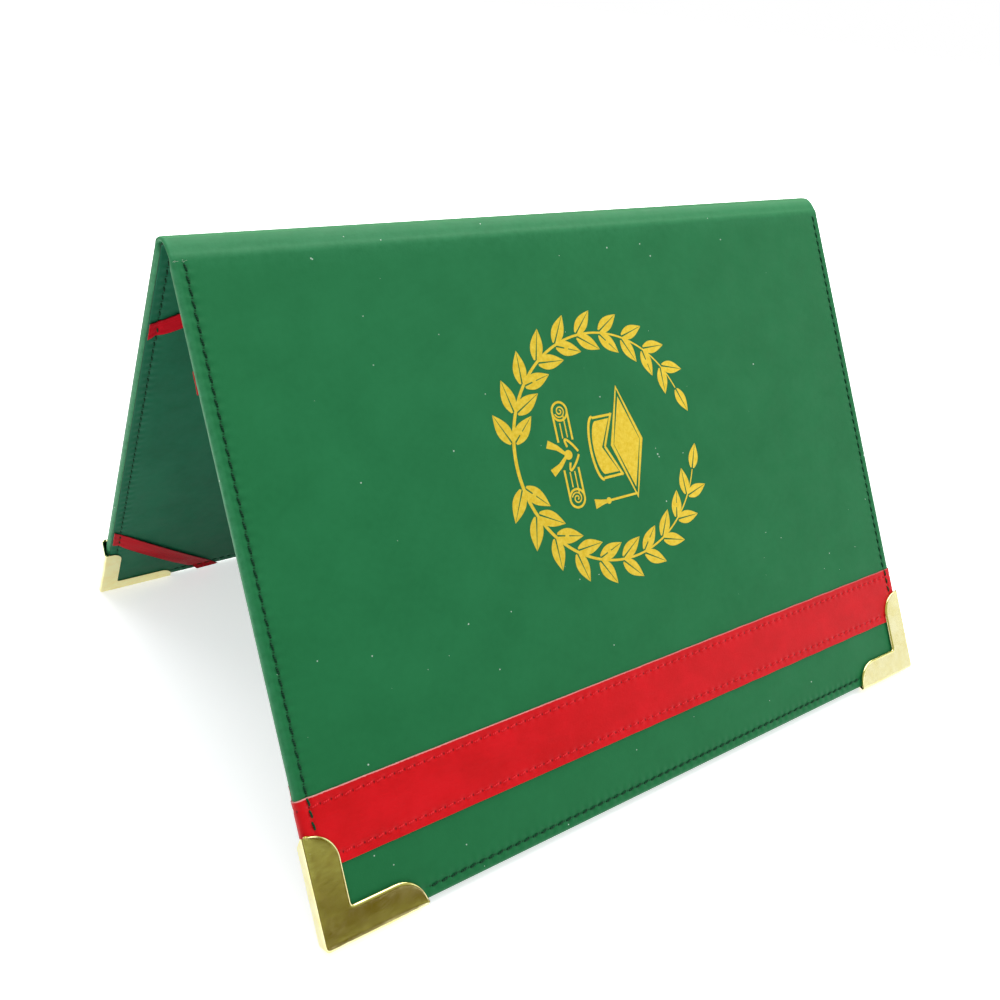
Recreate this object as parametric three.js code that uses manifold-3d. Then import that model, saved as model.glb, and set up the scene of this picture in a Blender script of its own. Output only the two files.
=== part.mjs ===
// A diploma cover for one A4 sheet, standing open like a tent on its two long free edges.
// Millimetres, +Z up. X runs along the spine and the front cover faces -Y.
// The origin is on the ground, in the middle of the cover's footprint.

import * as THREE from 'three';
import { mergeVertices } from 'three/addons/utils/BufferGeometryUtils.js';
import Module from 'manifold-3d';

const wasm = await Module();
wasm.setup();

// Covers
const coverWidth = 310;
const coverDepth = 223;
const spineWidth = 12.4;
const frontLean = 31;
const backLean = 29.6;
const cornerRadius = 1.8;
const edgeRadius = 1.4;

// Sheets, from the outside in
const skinThickness = 0.8;
const boardThickness = 1.7;
const liningThickness = 0.5;
const turnIn = 13;
const spineTurnIn = 9;
const liningInset = 0.8;
const layerGap = 0.25;

// Folds: how far the thick layers stay back from the fold line
const hingeClearance = 0.5;
const mitreGap = 0.15;

// Stripe sewn across the front, measured from the fore edge
const stripeStart = 24;
const stripeWidth = 24;
const stripeThickness = 0.45;
const stripeSeamInset = 3.2;

// Thread
const seamInset = 4;
const stitchPitch = 5;
const threadWidth = 0.6;
const threadHeight = 0.5;
const threadValley = 0.2;
const seamEndClearance = 1.5;

// Brass corner protectors
const brassThickness = 0.45;
const brassBend = 1.1;
const outerArmLength = 38;
const outerArmWidth = 11.6;
const outerArmRound = 10.4;
const innerArmLength = 34;
const innerArmWidth = 7.6;
const innerArmRound = 5.5;
const innerCornerFillet = 1;

// Satin ribbons across the inner corners
const ribbonWidth = 7.5;
const ribbonThickness = 0.3;
const ribbonSideReach = 48;
const ribbonForeReach = 52;
const ribbonFoldReach = 41;
const ribbonSlackRun = 26;

// Gold foil on the front
const foilThickness = 0.15;
const emblemHeight = 135.3;
const wreathRadius = 45;
const wreathStemWidth = 1.2;
const wreathOpening = 44;
const wreathBareStem = 10;
const wreathStations = 10;
const wreathStemOverlap = 4;
const leafOverlap = 1;
const leafLength = 14.5;
const leafWidth = 6.4;
const leafSplay = 38;
const leafWidestAt = 0.45;
const capWidth = 46;
const capHeight = 17;
const capBandWidth = 25;
const capBandHeight = 10;
const capBandSag = 0.3;
const tasselInset = 2;
const tasselLength = 15;
const tasselCordWidth = 1;
const tasselHeadWidth = 1.6;
const tasselHeadOverlap = 1;
const tasselFringeLength = 6;
const tasselFringeWidth = 4.4;
const scrollLength = 42;
const scrollDiameter = 8;
const knotDiameter = 10;
const tailRootWidth = 1;
const tailSpread = 7;
const tailWidth = 3.6;
const tailDrop = 9.6;
const tailNotch = 0.8;
const foilGap = 1.2;

// Values that follow from the ones above
const skinStack = 2 * skinThickness + boardThickness + 2 * layerGap;
const coverThickness = skinStack + layerGap + liningThickness;
const spineThickness = 2 * skinThickness + 2 * layerGap + liningThickness;
const boardSetback = spineThickness + hingeClearance;
const stripeTop = layerGap + stripeThickness;
const brassClearance = stripeTop + layerGap;
const brassProud = brassClearance + brassThickness;
const halfWidth = coverWidth / 2;
const curveSteps = 6;
const roundingSteps = 3;
const leafSteps = 4;
const knotSteps = 12;
const ribbonSteps = 8;
const farOut = 20;
const overshoot = 1;
const weldDistance = 1e-4;

const radians = THREE.MathUtils.degToRad;

// Materials, one for each finish
const makeMaterial = (color, roughness, metalness) => (
  () => new THREE.MeshStandardMaterial({ color, roughness, metalness })
);
const leatherette = makeMaterial('#2f7d50', 0.5, 0);
const greyBoard = makeMaterial('#8f8b80', 0.9, 0);
const innerLeatherette = makeMaterial('#245a42', 0.6, 0);
const redLeatherette = makeMaterial('#cf1c28', 0.45, 0);
const darkThread = makeMaterial('#12341f', 0.8, 0);
const redThread = makeMaterial('#c9222e', 0.8, 0);
const polishedBrass = makeMaterial('#c2ab55', 0.25, 1);
const satinRibbon = makeMaterial('#a01522', 0.35, 0);
const goldFoil = makeMaterial('#e3c23c', 0.35, 0.8);

// Solids: a closed three.js geometry becomes a solid that can be joined and cut
function solidOf(geometry) {
  const bare = geometry.clone();
  bare.deleteAttribute('normal');
  bare.deleteAttribute('uv');
  const merged = mergeVertices(bare, weldDistance);
  return new wasm.Manifold(new wasm.Mesh({
    numProp: 3,
    vertProperties: new Float32Array(merged.attributes.position.array),
    triVerts: new Uint32Array(merged.index.array),
  }));
}

function geometryOf(solid) {
  const mesh = solid.getMesh();
  const geometry = new THREE.BufferGeometry();
  geometry.setAttribute('position', new THREE.BufferAttribute(mesh.vertProperties, 3));
  geometry.setIndex(new THREE.BufferAttribute(mesh.triVerts, 1));
  geometry.computeVertexNormals();
  return geometry;
}

function join(solids) {
  return solids.reduce((whole, solid) => whole.add(solid));
}

function boxSolid(x0, x1, y0, y1, z0, z1) {
  const geometry = new THREE.BoxGeometry(x1 - x0, y1 - y0, z1 - z0);
  geometry.translate((x0 + x1) / 2, (y0 + y1) / 2, (z0 + z1) / 2);
  return solidOf(geometry);
}

function plateSolid(points, z0, z1) {
  const geometry = new THREE.ExtrudeGeometry(new THREE.Shape(points), {
    depth: z1 - z0, bevelEnabled: false,
  });
  geometry.translate(0, 0, z0);
  return solidOf(geometry);
}

// A prism with its outline in the YZ plane
function prismAlongX(points, x0, x1) {
  const geometry = new THREE.ExtrudeGeometry(new THREE.Shape(points), {
    depth: x1 - x0, bevelEnabled: false,
  });
  geometry.applyMatrix4(new THREE.Matrix4().set(0, 0, 1, x0, 1, 0, 0, 0, 0, 1, 0, 0, 0, 0, 0, 1));
  return solidOf(geometry);
}

// A prism with its outline in the XZ plane
function prismAlongY(points, y0, y1) {
  const geometry = new THREE.ExtrudeGeometry(new THREE.Shape(points), {
    depth: y1 - y0, bevelEnabled: false,
  });
  geometry.rotateX(Math.PI / 2);
  geometry.translate(0, y1, 0);
  return solidOf(geometry);
}

function point(x, y) {
  return new THREE.Vector2(x, y);
}

function arcPoints(centreX, centreY, radius, startDegrees, endDegrees, steps = curveSteps) {
  return Array.from({ length: steps + 1 }, (_, i) => {
    const angle = radians(startDegrees + (endDegrees - startDegrees) * i / steps);
    return point(centreX + radius * Math.cos(angle), centreY + radius * Math.sin(angle));
  });
}

// Each cover is built in its own frame: X along the spine, Y up from the fore edge to the fold,
// which is Y = 0, and Z out of the cover, with Z = 0 on the outside of its leatherette.
const foreEdge = -coverDepth;

// The cover's outline, larger by grow on the two sides and the fore edge, and open past the fold
function coverOutline(grow) {
  const x = halfWidth + grow;
  const y = foreEdge - grow;
  const r = cornerRadius + grow;
  return [
    ...arcPoints(-x + r, y + r, r, 180, 270, roundingSteps),
    ...arcPoints(x - r, y + r, r, 270, 360, roundingSteps),
    point(x, farOut),
    point(-x, farOut),
  ];
}

function roundedSlab(grow, z0, z1, radius) {
  const geometry = new THREE.ExtrudeGeometry(new THREE.Shape(coverOutline(grow)), {
    depth: z1 - z0 - 2 * radius,
    bevelThickness: radius,
    bevelSize: radius,
    bevelOffset: -radius,
    bevelSegments: roundingSteps,
  });
  geometry.translate(0, 0, z0 + radius);
  return solidOf(geometry);
}

// Leatherette of one cover, wrapped round the board and turned in on three sides
function coverSkin() {
  const slab = roundedSlab(0, -skinStack, 0, edgeRadius);
  const boardRoom = boxSolid(
    -halfWidth + skinThickness, halfWidth - skinThickness,
    foreEdge + skinThickness, farOut + overshoot,
    -skinStack + skinThickness, -skinThickness,
  );
  const window = boxSolid(
    -halfWidth + turnIn, halfWidth - turnIn,
    foreEdge + turnIn, farOut + overshoot,
    -skinStack - overshoot, -skinThickness,
  );
  const foldRoom = boxSolid(-halfWidth - overshoot, halfWidth + overshoot,
    -boardSetback, farOut + overshoot, -skinStack - overshoot, -skinThickness);
  const pastFold = prismAlongX([
    point(-mitreGap + overshoot, overshoot),
    point(farOut + overshoot, overshoot),
    point(farOut + overshoot, -skinThickness - overshoot),
    point(-mitreGap - skinThickness - overshoot, -skinThickness - overshoot),
  ], -halfWidth - overshoot, halfWidth + overshoot);
  return slab.subtract(boardRoom).subtract(window).subtract(foldRoom).subtract(pastFold);
}

function coverBoard() {
  const inset = skinThickness + layerGap;
  return boxSolid(-halfWidth + inset, halfWidth - inset, foreEdge + inset, -boardSetback,
    -inset - boardThickness, -inset);
}

function coverLining() {
  return boxSolid(-halfWidth + liningInset, halfWidth - liningInset, foreEdge + liningInset,
    -boardSetback, -coverThickness, -coverThickness + liningThickness);
}

// Red leatherette band, turned round both side edges
function stripeBand() {
  const band = roundedSlab(stripeTop, -skinStack, stripeTop, edgeRadius);
  const cover = roundedSlab(layerGap, -skinStack - farOut, layerGap, edgeRadius);
  const y0 = foreEdge + stripeStart;
  const stretch = boxSolid(-halfWidth - farOut, halfWidth + farOut, y0, y0 + stripeWidth,
    -skinStack + edgeRadius, farOut);
  return band.subtract(cover).intersect(stretch);
}

// One row of stitches seen from its side: a crest for each stitch, on a low base.
// baseAt gives the height that the thread lies on.
function stitchOutline(start, end, baseAt) {
  const count = Math.max(1, Math.round((end - start) / stitchPitch));
  const pitch = (end - start) / count;
  const crests = Array.from({ length: count }, (_, i) => {
    const valley = start + i * pitch;
    const crest = valley + pitch / 2;
    return [
      point(valley, baseAt(valley) + threadValley),
      point(crest, baseAt(crest) + threadHeight),
    ];
  }).flat();
  const below = Array.from({ length: count + 1 }, (_, i) => {
    const along = end - i * pitch;
    return point(along, baseAt(along));
  }).filter((p, i, all) => i === 0 || i === all.length - 1 || p.y !== all[i - 1].y
    || p.y !== all[i + 1].y);
  return [...crests, point(end, baseAt(end) + threadValley), ...below];
}

// The thread lies on the stripe where it crosses it, and comes down to the cover one stitch on
function sideSeam(side, crossesStripe) {
  const start = foreEdge - brassProud + outerArmLength + seamEndClearance;
  const end = -boardSetback;
  const stripeEnd = foreEdge + stripeStart + stripeWidth + layerGap;
  const baseAt = (y) => (crossesStripe && y < stripeEnd ? stripeTop + layerGap : layerGap);
  const x = side * (halfWidth - seamInset);
  return prismAlongX(stitchOutline(start, end, baseAt), x - threadWidth / 2, x + threadWidth / 2);
}

function foreSeam() {
  const end = halfWidth + brassProud - outerArmLength - seamEndClearance;
  const y = foreEdge + seamInset;
  return prismAlongY(stitchOutline(-end, end, () => layerGap), y - threadWidth / 2,
    y + threadWidth / 2);
}

function stripeSeam(fromForeEdge) {
  const end = halfWidth - 2 * seamInset;
  const clearOfBrass = fromForeEdge < outerArmLength
    ? halfWidth + brassProud - outerArmWidth - seamEndClearance
    : end;
  const reach = Math.min(end, clearOfBrass);
  const y = foreEdge + fromForeEdge;
  return prismAlongY(stitchOutline(-reach, reach, () => stripeTop + layerGap),
    y - threadWidth / 2, y + threadWidth / 2);
}

// Outline of one L of a corner protector, with its outer corner at the origin and rounded ends
function armOutline(length, width, round) {
  const fillet = innerCornerFillet;
  return [
    point(0, 0),
    point(length, 0),
    ...arcPoints(length - round, width - round, round, 0, 90),
    ...arcPoints(width + fillet, width + fillet, fillet, 270, 180, roundingSteps),
    ...arcPoints(width - round, length - round, round, 0, 90),
    point(0, length),
  ];
}

// Brass protector bent from one sheet: an outer and an inner L, and the walls round both edges
function brassCorner(side) {
  const sheet = roundedSlab(brassProud, -coverThickness - layerGap - brassThickness, brassProud,
    brassBend);
  const room = roundedSlab(brassClearance, -coverThickness - layerGap, brassClearance,
    brassBend - brassThickness);
  const x = halfWidth + brassProud;
  const y = foreEdge - brassProud;
  const place = (p) => point(side * (x - p.x), y + p.y);
  const middle = -coverThickness / 2;
  const outerL = plateSolid(armOutline(outerArmLength, outerArmWidth, outerArmRound).map(place),
    0, farOut);
  const innerL = plateSolid(armOutline(innerArmLength, innerArmWidth, innerArmRound).map(place),
    -farOut, -coverThickness);
  const wallOutline = [
    point(-overshoot, farOut),
    point(outerArmLength, farOut),
    point(outerArmLength, 0),
    point(innerArmLength, -coverThickness),
    point(innerArmLength, -farOut),
    point(-overshoot, -farOut),
  ];
  const sideX = [side * (x + overshoot), side * (x - brassBend)].sort((a, b) => a - b);
  const sideWall = prismAlongX(wallOutline.map((p) => point(y + p.x, p.y)), ...sideX);
  const foreWall = prismAlongY(wallOutline.map((p) => point(side * (x - p.x), p.y)),
    y - overshoot, y + brassBend);
  return sheet.subtract(room).intersect(join([outerL, innerL, sideWall, foreWall]));
}

// A ribbon across one inner corner, lying on the lining along a curve from edge to edge
function ribbonBand(curve) {
  const left = [];
  const right = [];
  for (let i = 0; i <= ribbonSteps; i += 1) {
    const at = curve.getPoint(i / ribbonSteps);
    const along = curve.getTangent(i / ribbonSteps);
    left.push(point(at.x - along.y * ribbonWidth / 2, at.y + along.x * ribbonWidth / 2));
    right.push(point(at.x + along.y * ribbonWidth / 2, at.y - along.x * ribbonWidth / 2));
  }
  const top = -coverThickness - layerGap;
  const band = plateSolid([...left, ...right.reverse()], top - ribbonThickness, top);
  const liningArea = boxSolid(-halfWidth + liningInset, halfWidth - liningInset,
    foreEdge + liningInset, -boardSetback, -farOut, farOut);
  return band.intersect(liningArea);
}

function foreRibbon(side) {
  const over = ribbonWidth;
  const atSide = point(side * (halfWidth + over), foreEdge + ribbonSideReach
    + over * ribbonSideReach / ribbonForeReach);
  const atFore = point(side * (halfWidth - ribbonForeReach - over * ribbonForeReach
    / ribbonSideReach), foreEdge - over);
  return ribbonBand(new THREE.LineCurve(atSide, atFore));
}

// The ribbons near the fold hang a little slack: they start level and then climb to the fold
function foldRibbon(side) {
  const atSide = point(side * (halfWidth + ribbonWidth), -ribbonFoldReach);
  const slack = point(side * (halfWidth - ribbonSlackRun), -ribbonFoldReach);
  const atFold = point(side * (halfWidth - ribbonFoldReach - ribbonWidth / 2), ribbonWidth);
  return ribbonBand(new THREE.QuadraticBezierCurve(atSide, slack, atFold));
}

// Foil shapes are drawn upright, with X to the right and Y up, and then turned on the cover so
// that their top points along the spine, as on a book that opens from its left side.
function foilSolid(points) {
  const turned = points.map((p) => point(p.y, foreEdge + emblemHeight - p.x));
  return plateSolid(turned, layerGap, layerGap + foilThickness);
}

function leafOutline(length, width) {
  const curve = new THREE.Shape();
  curve.moveTo(0, 0);
  curve.quadraticCurveTo(length * leafWidestAt, width, length, 0);
  curve.quadraticCurveTo(length * leafWidestAt, -width, 0, 0);
  return curve.getPoints(leafSteps).slice(0, -1);
}

function placed(points, x, y, degrees) {
  const angle = radians(degrees);
  return points.map((p) => p.clone().rotateAround(point(0, 0), angle).add(point(x, y)));
}

// Two laurel branches that start together at the bottom and leave the top open
function foilWreath() {
  const pieces = [];
  const sweep = 180 - wreathOpening / 2;
  for (const side of [-1, 1]) {
    const bottom = -90 - side * wreathStemOverlap;
    const top = -90 + side * sweep;
    const outer = arcPoints(0, 0, wreathRadius + wreathStemWidth / 2, bottom, top, 4 * curveSteps);
    const inner = arcPoints(0, 0, wreathRadius - wreathStemWidth / 2, top, bottom, 4 * curveSteps);
    pieces.push(foilSolid([...outer, ...inner]));
    for (let i = 0; i <= wreathStations; i += 1) {
      const angle = -90 + side * (wreathBareStem
        + (sweep - wreathBareStem - leafOverlap) * i / wreathStations);
      const x = wreathRadius * Math.cos(radians(angle));
      const y = wreathRadius * Math.sin(radians(angle));
      const heading = angle + side * 90;
      const splays = i === wreathStations ? [0] : [leafSplay, -leafSplay];
      for (const splay of splays) {
        pieces.push(foilSolid(placed(leafOutline(leafLength, leafWidth), x, y, heading + splay)));
      }
    }
  }
  return join(pieces);
}

// Square academic cap: its board, seen from a little above, with a tassel at one corner
function foilCapBoard() {
  const base = capHeight / 2 + foilGap;
  const board = foilSolid([
    point(0, base + capHeight / 2),
    point(-capWidth / 2, base),
    point(0, base - capHeight / 2),
    point(capWidth / 2, base),
  ]);
  const x = capWidth / 2 - tasselInset;
  const end = base - tasselLength;
  const cord = foilSolid([
    point(x - tasselCordWidth / 2, base),
    point(x - tasselCordWidth / 2, end),
    point(x + tasselCordWidth / 2, end),
    point(x + tasselCordWidth / 2, base),
  ]);
  const tassel = foilSolid([
    point(x - tasselHeadWidth / 2, end + tasselHeadOverlap),
    point(x - tasselFringeWidth / 2, end - tasselFringeLength),
    point(x + tasselFringeWidth / 2, end - tasselFringeLength),
    point(x + tasselHeadWidth / 2, end + tasselHeadOverlap),
  ]);
  return join([board, cord, tassel]);
}

// Band of the cap, below the board
function foilCapBand() {
  const half = capBandWidth / 2;
  const slope = capHeight / capWidth;
  const top = foilGap + half * slope - foilGap;
  return foilSolid([
    point(-half, top),
    point(-half, top - capBandHeight),
    ...arcPoints(0, top - capBandHeight, half, 180, 360).map((p) => (
      point(p.x, top - capBandHeight + (p.y - top + capBandHeight) * capBandSag))).slice(1, -1),
    point(half, top - capBandHeight),
    point(half, top),
    point(0, -foilGap),
  ]);
}

// Rolled sheet below the cap, tied in the middle
function foilScroll() {
  const half = scrollLength / 2;
  const r = scrollDiameter / 2;
  const y = -capBandHeight - scrollDiameter - 2 * foilGap;
  const roll = foilSolid([
    ...arcPoints(-half + r, y, r, 90, 270),
    ...arcPoints(half - r, y, r, -90, 90),
  ]);
  const knot = foilSolid(arcPoints(0, y, knotDiameter / 2, 0, 360, knotSteps).slice(0, -1));
  const tails = [-1, 1].map((side) => foilSolid([
    point(side * tailRootWidth / 2, y),
    point(side * tailSpread, y - tailDrop),
    point(side * (tailSpread - tailWidth), y - tailDrop - tailNotch),
    point(-side * tailRootWidth / 2, y),
  ]));
  return join([roll, knot, ...tails]);
}

// Spine strip in its own frame: Y from the front fold to the back fold, Z out of the strip
function spineSkin() {
  const stack = 2 * skinThickness + layerGap;
  const layerStart = skinThickness + 2 * layerGap;
  const sheet = prismAlongX([
    point(mitreGap, 0),
    point(mitreGap + skinThickness, -skinThickness),
    point(spineWidth - mitreGap - skinThickness, -skinThickness),
    point(spineWidth - mitreGap, 0),
  ], -halfWidth, halfWidth);
  const ends = [-1, 1].map((side) => {
    const outer = side * halfWidth;
    const wall = [outer, outer - side * skinThickness].sort((a, b) => a - b);
    const flap = [outer, outer - side * spineTurnIn].sort((a, b) => a - b);
    return boxSolid(...wall, layerStart, spineWidth - layerStart, -stack, -skinThickness / 2)
      .add(boxSolid(...flap, layerStart, spineWidth - layerStart, -stack,
        -stack + skinThickness));
  });
  return join([sheet, ...ends]);
}

function spineLining() {
  const start = skinThickness + 2 * layerGap;
  return boxSolid(-halfWidth + liningInset, halfWidth - liningInset, start, spineWidth - start,
    -spineThickness, -spineThickness + liningThickness);
}

// How far below the outer line of the fore edge a leaning cover's brass reaches
function footDepth(lean) {
  const inward = coverThickness + layerGap + brassThickness - brassBend;
  const down = brassProud - brassBend;
  return inward * Math.sin(lean) + down * Math.cos(lean) + brassBend;
}

function addPiece(parent, name, solid, material) {
  const mesh = new THREE.Mesh(geometryOf(solid), material());
  mesh.name = name;
  parent.add(mesh);
}

function addCommonPieces(cover, prefix, hasStripe) {
  addPiece(cover, `${prefix}_board`, coverBoard(), greyBoard);
  addPiece(cover, `${prefix}_cover_skin`, coverSkin(), leatherette);
  addPiece(cover, `${prefix}_lining`, coverLining(), innerLeatherette);
  addPiece(cover, `${prefix}_fore_seam`, foreSeam(), darkThread);
  for (const [sideName, side] of [['left', -1], ['right', 1]]) {
    addPiece(cover, `${prefix}_${sideName}_seam`, sideSeam(side, hasStripe), darkThread);
    addPiece(cover, `${prefix}_${sideName}_corner`, brassCorner(side), polishedBrass);
    addPiece(cover, `${prefix}_${sideName}_fore_ribbon`, foreRibbon(side), satinRibbon);
    addPiece(cover, `${prefix}_${sideName}_fold_ribbon`, foldRibbon(side), satinRibbon);
  }
}

// Both folds are placed so that the two covers stand on the same ground
const frontFoldHeight = footDepth(radians(frontLean)) + coverDepth * Math.cos(radians(frontLean));
const backFoldHeight = footDepth(radians(backLean)) + coverDepth * Math.cos(radians(backLean));
const spineTilt = Math.asin((backFoldHeight - frontFoldHeight) / spineWidth);

const frontCover = new THREE.Group();
frontCover.rotation.x = Math.PI / 2 - radians(frontLean);
frontCover.position.set(0, 0, frontFoldHeight);
addCommonPieces(frontCover, 'front', true);
addPiece(frontCover, 'front_stripe', stripeBand(), redLeatherette);
addPiece(frontCover, 'stripe_lower_seam', stripeSeam(stripeStart + stripeSeamInset), redThread);
addPiece(frontCover, 'stripe_upper_seam',
  stripeSeam(stripeStart + stripeWidth - stripeSeamInset), redThread);
addPiece(frontCover, 'foil_wreath', foilWreath(), goldFoil);
addPiece(frontCover, 'foil_cap', foilCapBoard(), goldFoil);
addPiece(frontCover, 'foil_cap_band', foilCapBand(), goldFoil);
addPiece(frontCover, 'foil_scroll', foilScroll(), goldFoil);

const spine = new THREE.Group();
spine.rotation.x = spineTilt;
spine.position.copy(frontCover.position);
addPiece(spine, 'spine_skin', spineSkin(), leatherette);
addPiece(spine, 'spine_lining', spineLining(), innerLeatherette);

const backCover = new THREE.Group();
backCover.rotation.set(radians(backLean) - Math.PI / 2, 0, Math.PI);
backCover.position.set(0, spineWidth * Math.cos(spineTilt), backFoldHeight);
addCommonPieces(backCover, 'back', false);

const diplomaCover = new THREE.Group();
diplomaCover.add(frontCover, spine, backCover);

// The ground and the middle of the footprint become the origin
diplomaCover.updateMatrixWorld(true);
const extent = new THREE.Box3().setFromObject(diplomaCover, true);
const middle = extent.getCenter(new THREE.Vector3());
diplomaCover.position.set(-middle.x, -middle.y, -extent.min.z);
diplomaCover.updateMatrixWorld(true);

export default diplomaCover;
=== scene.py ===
import math

import bpy
import numpy as np
from mathutils import Matrix


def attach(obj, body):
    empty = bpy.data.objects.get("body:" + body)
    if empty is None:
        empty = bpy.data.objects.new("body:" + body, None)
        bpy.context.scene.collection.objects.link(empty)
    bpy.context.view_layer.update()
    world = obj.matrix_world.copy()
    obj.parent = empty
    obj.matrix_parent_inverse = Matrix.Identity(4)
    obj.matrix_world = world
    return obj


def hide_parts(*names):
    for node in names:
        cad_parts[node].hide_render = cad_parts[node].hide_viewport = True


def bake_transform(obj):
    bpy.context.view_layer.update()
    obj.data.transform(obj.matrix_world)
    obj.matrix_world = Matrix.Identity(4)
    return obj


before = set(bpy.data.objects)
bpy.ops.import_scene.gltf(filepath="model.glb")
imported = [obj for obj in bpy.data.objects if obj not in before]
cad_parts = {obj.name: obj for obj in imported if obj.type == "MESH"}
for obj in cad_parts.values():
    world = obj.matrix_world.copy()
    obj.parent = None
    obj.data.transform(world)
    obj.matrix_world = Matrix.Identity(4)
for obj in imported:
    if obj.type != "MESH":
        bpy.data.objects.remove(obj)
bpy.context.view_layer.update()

# Lengths are in millimetres, as in the CAD source, and become metres when a mesh is made.
MM = 0.001

# The cover, in the CAD's own measures
HALF_WIDTH = 155.0
DEPTH = 223.0
SPINE_WIDTH = 12.4
SPINE_DEPTH = 1.85
SKIN = 0.8
SKIN_STACK = 3.8
LINING = 0.5
LINING_FACE = 4.55
LINING_INSET = 0.8
LAYER_GAP = 0.25
EDGE_RADIUS = 1.4
TURN_IN = 13.0
SEAM_INSET = 4.0
STRIPE_START = 24.0
STRIPE_WIDTH = 24.0
STRIPE_SEAM_INSET = 3.2
STRIPE_TOP = 0.44
STRIPE_UNDER = 0.02
BRASS_PROUD = 1.4
BRASS_THICKNESS = 0.45
BRASS_CORNER_RADIUS = 1.7
OUTER_ARM = {"length": 38.0, "width": 11.6}
INNER_ARM = {"length": 34.0, "width": 7.6}
RIBBON_WIDTH = 7.5
RIBBON_SIDE_REACH = 48.0
RIBBON_FORE_REACH = 52.0
RIBBON_FOLD_REACH = 41.0
FOIL_HEIGHT = 135.3

# Lines that follow from these, from the fold at 0 down the cover, and across it
SIDE_SEAM = HALF_WIDTH - SEAM_INSET
FORE_SEAM = -DEPTH + SEAM_INSET
STRIPE_LOW = -DEPTH + STRIPE_START
STRIPE_HIGH = STRIPE_LOW + STRIPE_WIDTH
STRIPE_ROWS = (STRIPE_LOW + STRIPE_SEAM_INSET, STRIPE_HIGH - STRIPE_SEAM_INSET)
BRASS_SIDE = HALF_WIDTH + BRASS_PROUD
BRASS_FORE = -DEPTH - BRASS_PROUD

# Thread: how a row is divided, and how thick each thread is
STITCH_PITCH = 3.9
STITCH_LENGTH = 2.9
STITCH_PHASE = 1.0
STITCH_SLANT = 11.0
THREAD_OUTSIDE = 0.34
THREAD_INSIDE = 0.24
THREAD_RED = 0.26
SEAM_END_OUTSIDE = -3.3
SEAM_END_INSIDE = -6.5

# Where the seams cross the ribbons, and half the length of the crossing
RIBBON_AT_FOLD = (-40.7, 3.6)
RIBBON_AT_SIDE = (44.3 - DEPTH, 4.9)
RIBBON_AT_FORE = (107.3, 5.3)

# The soft spine stands out between the folds, and the sheets bend this far on both sides of one
SPINE_BULGE = 1.7

# Where a thread lies, out of the cover: on the skin, the stripe, the lining and a ribbon
ON_SKIN = -0.12
ON_STRIPE = 0.42
RED_ON_STRIPE = 0.30
ON_LINING = -LINING_FACE + 0.20
ON_RIBBON = -LINING_FACE - 0.34

rng = np.random.default_rng(7)


def unit(v):
    v = np.asarray(v, float)
    return v / np.maximum(np.linalg.norm(v, axis=-1, keepdims=True), 1e-12)


def length_along(points):
    """The way along a line of points, from the first one to each."""
    steps = np.linalg.norm(np.diff(points, axis=0), axis=1)
    return np.concatenate([[0], np.cumsum(steps)])


def stacked(*coordinates):
    """Numbers and arrays of coordinates as one array of points."""
    return np.stack(np.broadcast_arrays(*coordinates), -1)


def hill(x, centre, width):
    """1 where x is centre, falling to 0 about two widths away."""
    return np.exp(-((x - centre) / width) ** 2)


def side_name(cover, side):
    return f"{cover.prefix}_{'left' if side < 0 else 'right'}"


class Cover:
    """One cover's own frame: x along the spine, y up to the fold at 0, z out of the leatherette."""

    def __init__(self, prefix, x_sign, fold, up, out, spine_along, fold_radius):
        self.prefix = prefix
        self.body = prefix + "_cover"
        self.x = np.array([x_sign, 0.0, 0.0])
        self.fold, self.up, self.out, self.spine_along, self.spine_out = (
            np.array([0.0, *pair]) for pair in (fold, up, out, spine_along, SPINE_OUT))
        self.fold_radius = fold_radius
        self.angle = math.acos(float(self.up @ self.spine_along))
        self.tangent = fold_radius * math.tan(self.angle / 2)

    def turn(self, d):
        d = np.asarray(d, float)
        return d[..., :1] * self.x + d[..., 1:2] * self.up + d[..., 2:3] * self.out

    def world(self, p):
        return self.fold + self.turn(p)

    def profile(self, v):
        """Point and outward normal on the outside of the skin, v along it from the fold line."""
        t = self.tangent
        if v <= -t:
            return self.fold + self.up * v, self.out
        rise = np.clip(v / (SPINE_WIDTH / 2), 0.0, 1.0)
        bulge = self.spine_out * SPINE_BULGE * rise * rise * (3 - 2 * rise)
        if v >= t:
            return self.fold + self.spine_along * v + bulge, self.spine_out
        a = (v + t) / (2 * t) * self.angle
        centre = self.fold - self.up * t - self.out * self.fold_radius
        n = self.out * math.cos(a) + self.up * math.sin(a)
        return centre + n * self.fold_radius + bulge, n


# The covers stand like a tent; each pair is a place or a way in the plane of Y and Z
SPINE_ALONG = (0.976628, 0.214936)
SPINE_OUT = (-0.214936, 0.976628)
front = Cover("front", 1, (-3.7016, 194.6428), (0.515038, 0.857167), (-0.857167, 0.515038),
              SPINE_ALONG, fold_radius=7.0)
back = Cover("back", -1, (8.4086, 197.3080), (-0.493942, 0.869495), (0.869495, 0.493942),
             [-a for a in SPINE_ALONG], fold_radius=4.0)


# Materials


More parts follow.
